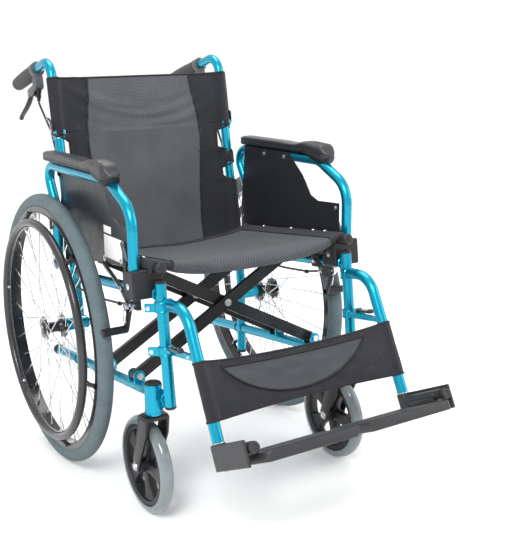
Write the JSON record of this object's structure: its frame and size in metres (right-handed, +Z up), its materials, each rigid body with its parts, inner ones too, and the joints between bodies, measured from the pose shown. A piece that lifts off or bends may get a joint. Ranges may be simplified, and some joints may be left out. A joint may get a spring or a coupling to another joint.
{
  "type": "transport wheelchair",
  "caption": "Folding wheelchair with a crossed brace, spoked rear wheels and hand rims, swivel casters, flip-up armrests, folding back and swing-away foot hangers.",
  "frame": {"origin": "centre of the footprint, on the floor", "axes": "+X toward the occupant's left, +Y toward the rear, +Z up"},
  "size_m": [0.659, 1.098, 0.903],
  "materials": {
    "frame_blue": "metallic turquoise lacquer",
    "arm_blue": "metallic turquoise lacquer",
    "black_plastic": "moulded, fine grain",
    "bright_steel": "zinc plated",
    "black_steel": "black powder coat",
    "cable_black": "smooth cable housing",
    "grip_grey": "soft ribbed grip",
    "lever_grey": "cast grey body",
    "lever_black": "moulded lever",
    "latch_black": "moulded",
    "foot_chrome": "polished",
    "foot_grey": "moulded",
    "knob_steel": "dark plated pin and knob",
    "plate_grey": "moulded, ribbed top",
    "pad_grey": "soft moulded skin",
    "guard_black": "glossy sheet",
    "tyre_grey": "solid grey tyre with fine tread",
    "rim_black": "black rim",
    "spoke_steel": "bright spokes, dark hub",
    "handrim_grey": "dark coated tube",
    "fork_black": "black coat",
    "core_black": "moulded",
    "caster_grey": "glossy solid tyre",
    "brace_black": "black coat",
    "seat_fabric": "grey mesh over nylon",
    "back_fabric": "grey mesh over nylon",
    "strap_fabric": "grey mesh over nylon"
  },
  "bodies": {
    "frame_R": {"side_frame_R": "frame_blue", "frame_blocks_R": "black_plastic", "frame_hardware_R": "bright_steel", "brake_cable_R": "cable_black", "back_sling_lower": "back_fabric"},
    "frame_L": {"side_frame_L": "frame_blue", "frame_blocks_L": "black_plastic", "frame_hardware_L": "bright_steel", "brake_cable_L": "cable_black"},
    "brace_A": {"brace_A": "brace_black", "cross_bolts": "bright_steel"},
    "brace_B": {"brace_B": "brace_black"},
    "seat": {"seat_sling": "seat_fabric"},
    "back_upper_R": {"back_post_R": "frame_blue", "grip_R": "grip_grey", "lever_housing_R": "lever_grey", "back_sling_upper": "back_fabric"},
    "back_upper_L": {"back_post_L": "frame_blue", "grip_L": "grip_grey", "lever_housing_L": "lever_grey"},
    "att_lever_R": {"att_lever_R": "lever_black"},
    "arm_R": {"armrest_R": "arm_blue", "arm_pad_R": "pad_grey", "skirt_guard_R": "guard_black"},
    "arm_latch_R": {"arm_latch_R": "latch_black"},
    "wheel_lock_R": {"wheel_lock_R": "black_steel"},
    "wheel_R": {"tyre_R": "tyre_grey", "rim_R": "rim_black", "spokes_R": "spoke_steel", "handrim_R": "handrim_grey"},
    "caster_fork_R": {"caster_fork_R": "fork_black"},
    "caster_wheel_R": {"caster_core_R": "core_black", "caster_tyre_R": "caster_grey"},
    "hanger_R": {"hanger_R": "frame_blue", "calf_strap": "strap_fabric"},
    "hanger_latch_R": {"hanger_latch_R": "latch_black"},
    "foot_slide_R": {"foot_tube_R": "foot_chrome", "foot_bracket_R": "foot_grey"},
    "foot_pin_R": {"foot_pin_R": "knob_steel"},
    "footplate_R": {"footplate_R": "plate_grey"},
    "att_lever_L": {"att_lever_L": "lever_black"},
    "arm_L": {"armrest_L": "arm_blue", "arm_pad_L": "pad_grey", "skirt_guard_L": "guard_black"},
    "arm_latch_L": {"arm_latch_L": "latch_black"},
    "wheel_lock_L": {"wheel_lock_L": "black_steel"},
    "wheel_L": {"tyre_L": "tyre_grey", "rim_L": "rim_black", "spokes_L": "spoke_steel", "handrim_L": "handrim_grey"},
    "caster_fork_L": {"caster_fork_L": "fork_black"},
    "caster_wheel_L": {"caster_core_L": "core_black", "caster_tyre_L": "caster_grey"},
    "hanger_L": {"hanger_L": "frame_blue"},
    "hanger_latch_L": {"hanger_latch_L": "latch_black"},
    "foot_slide_L": {"foot_tube_L": "foot_chrome", "foot_bracket_L": "foot_grey"},
    "foot_pin_L": {"foot_pin_L": "knob_steel"},
    "footplate_L": {"footplate_L": "plate_grey"}
  },
  "joints": [
    {"name": "fold", "type": "hinge", "parent": "frame_R", "child": "brace_A", "pos_m": [-0.222, -0.01714, 0.25772], "axis": [0, 0.9936, -0.1132], "range_deg": [-41.5, 0], "deforming": ["seat_sling", "back_sling_lower", "back_sling_upper", "calf_strap"]},
    {"name": "brace_cross", "type": "hinge", "parent": "brace_A", "child": "brace_B", "pos_m": [0, -0.00383, 0.37456], "axis": [0, 0.9936, -0.1132], "range_deg": [0, 83]},
    {"name": "frame_left", "type": "hinge", "parent": "brace_B", "child": "frame_L", "pos_m": [0.222, -0.01714, 0.25772], "axis": [0, 0.9936, -0.1132], "range_deg": [-41.5, 0]},
    {"name": "seat_level", "type": "hinge", "parent": "brace_B", "child": "seat", "pos_m": [-0.222, -0.00939, 0.49356], "axis": [0, 0.9936, -0.1132], "range_deg": [-41.5, 0]},
    {"name": "back_fold_R", "type": "hinge", "parent": "frame_R", "child": "back_upper_R", "pos_m": [-0.222, 0.28023, 0.73491], "axis": [-1, 0, 0], "range_deg": [0, 90], "deforming": ["brake_cable_R", "back_sling_upper", "back_sling_lower"]},
    {"name": "back_fold_L", "type": "hinge", "parent": "frame_L", "child": "back_upper_L", "pos_m": [0.222, 0.28023, 0.73491], "axis": [-1, 0, 0], "range_deg": [0, 90], "deforming": ["brake_cable_L"]},
    {"name": "att_lever_R", "type": "hinge", "parent": "back_upper_R", "child": "att_lever_R", "pos_m": [-0.222, 0.44324, 0.82049], "axis": [1, 0, 0], "range_deg": [0, 20], "stiffness_Nm_per_rad": 0.4},
    {"name": "arm_flip_R", "type": "hinge", "parent": "frame_R", "child": "arm_R", "pos_m": [-0.256, 0.2286, 0.445], "axis": [-1, 0, 0], "range_deg": [0, 68]},
    {"name": "arm_latch_R", "type": "hinge", "parent": "frame_R", "child": "arm_latch_R", "pos_m": [-0.256, -0.1454, 0.517], "axis": [-1, 0, 0], "range_deg": [0, 20]},
    {"name": "wheel_lock_R", "type": "hinge", "parent": "frame_R", "child": "wheel_lock_R", "pos_m": [-0.249, -0.1284, 0.428], "axis": [-1, 0, 0], "range_deg": [0, 15]},
    {"name": "wheel_spin_R", "type": "hinge", "parent": "frame_R", "child": "wheel_R", "pos_m": [-0.29, 0.1986, 0.305], "axis": [1, 0, 0], "continuous": true},
    {"name": "caster_swivel_R", "type": "hinge", "parent": "frame_R", "child": "caster_fork_R", "pos_m": [-0.236, -0.1914, 0.222], "axis": [0, 0, 1], "continuous": true},
    {"name": "caster_spin_R", "type": "hinge", "parent": "caster_fork_R", "child": "caster_wheel_R", "pos_m": [-0.236, -0.1534, 0.1], "axis": [1, 0, 0], "continuous": true},
    {"name": "hanger_swing_R", "type": "hinge", "parent": "frame_R", "child": "hanger_R", "pos_m": [-0.222, -0.2147, 0.44066], "axis": [0, -0.1132, -0.9936], "range_deg": [0, 90]},
    {"name": "hanger_latch_R", "type": "hinge", "parent": "hanger_R", "child": "hanger_latch_R", "pos_m": [-0.225, -0.25288, 0.37053], "axis": [0, -0.1132, -0.9936], "range_deg": [0, 25]},
    {"name": "foot_slide_R", "type": "slide", "parent": "hanger_R", "child": "foot_slide_R", "axis": [0, -0.4462, -0.8949], "range_m": [0, 0.05]},
    {"name": "foot_pin_R", "type": "hinge", "parent": "foot_slide_R", "child": "foot_pin_R", "pos_m": [-0.215, -0.46442, 0.24714], "axis": [0, -0.8949, 0.4462], "range_deg": [0, 116.2]},
    {"name": "footplate_R", "type": "hinge", "parent": "foot_pin_R", "child": "footplate_R", "pos_m": [-0.215, -0.46442, 0.24714], "axis": [0, -0.8949, 0.4462], "range_deg": [0, 95]},
    {"name": "att_lever_L", "type": "hinge", "parent": "back_upper_L", "child": "att_lever_L", "pos_m": [0.222, 0.44324, 0.82049], "axis": [1, 0, 0], "range_deg": [0, 20], "stiffness_Nm_per_rad": 0.4},
    {"name": "arm_flip_L", "type": "hinge", "parent": "frame_L", "child": "arm_L", "pos_m": [0.256, 0.2286, 0.445], "axis": [-1, 0, 0], "range_deg": [0, 68]},
    {"name": "arm_latch_L", "type": "hinge", "parent": "frame_L", "child": "arm_latch_L", "pos_m": [0.256, -0.1454, 0.517], "axis": [-1, 0, 0], "range_deg": [0, 20]},
    {"name": "wheel_lock_L", "type": "hinge", "parent": "frame_L", "child": "wheel_lock_L", "pos_m": [0.249, -0.1284, 0.428], "axis": [-1, 0, 0], "range_deg": [0, 15]},
    {"name": "wheel_spin_L", "type": "hinge", "parent": "frame_L", "child": "wheel_L", "pos_m": [0.29, 0.1986, 0.305], "axis": [1, 0, 0], "continuous": true},
    {"name": "caster_swivel_L", "type": "hinge", "parent": "frame_L", "child": "caster_fork_L", "pos_m": [0.236, -0.1914, 0.222], "axis": [0, 0, 1], "continuous": true},
    {"name": "caster_spin_L", "type": "hinge", "parent": "caster_fork_L", "child": "caster_wheel_L", "pos_m": [0.236, -0.1534, 0.1], "axis": [1, 0, 0], "continuous": true},
    {"name": "hanger_swing_L", "type": "hinge", "parent": "frame_L", "child": "hanger_L", "pos_m": [0.222, -0.2147, 0.44066], "axis": [0, 0.1132, 0.9936], "range_deg": [0, 90]},
    {"name": "hanger_latch_L", "type": "hinge", "parent": "hanger_L", "child": "hanger_latch_L", "pos_m": [0.225, -0.25288, 0.37053], "axis": [0, 0.1132, 0.9936], "range_deg": [0, 25]},
    {"name": "foot_slide_L", "type": "slide", "parent": "hanger_L", "child": "foot_slide_L", "axis": [0, -0.4462, -0.8949], "range_m": [0, 0.05]},
    {"name": "foot_pin_L", "type": "hinge", "parent": "foot_slide_L", "child": "foot_pin_L", "pos_m": [0.215, -0.46442, 0.24714], "axis": [0, 0.8949, -0.4462], "range_deg": [0, 116.2]},
    {"name": "footplate_L", "type": "hinge", "parent": "foot_pin_L", "child": "footplate_L", "pos_m": [0.215, -0.46442, 0.24714], "axis": [0, 0.8949, -0.4462], "range_deg": [0, 95]}
  ],
  "couplings": [
    {"joint": "brace_cross", "follows": "fold", "ratio": -2},
    {"joint": "frame_left", "follows": "fold", "ratio": 1},
    {"joint": "seat_level", "follows": "fold", "ratio": 1},
    {"joint": "foot_pin_R", "follows": "fold", "ratio": -2.8},
    {"joint": "foot_pin_L", "follows": "fold", "ratio": -2.8},
    {"joint": "back_fold_L", "follows": "back_fold_R", "ratio": 1}
  ]
}
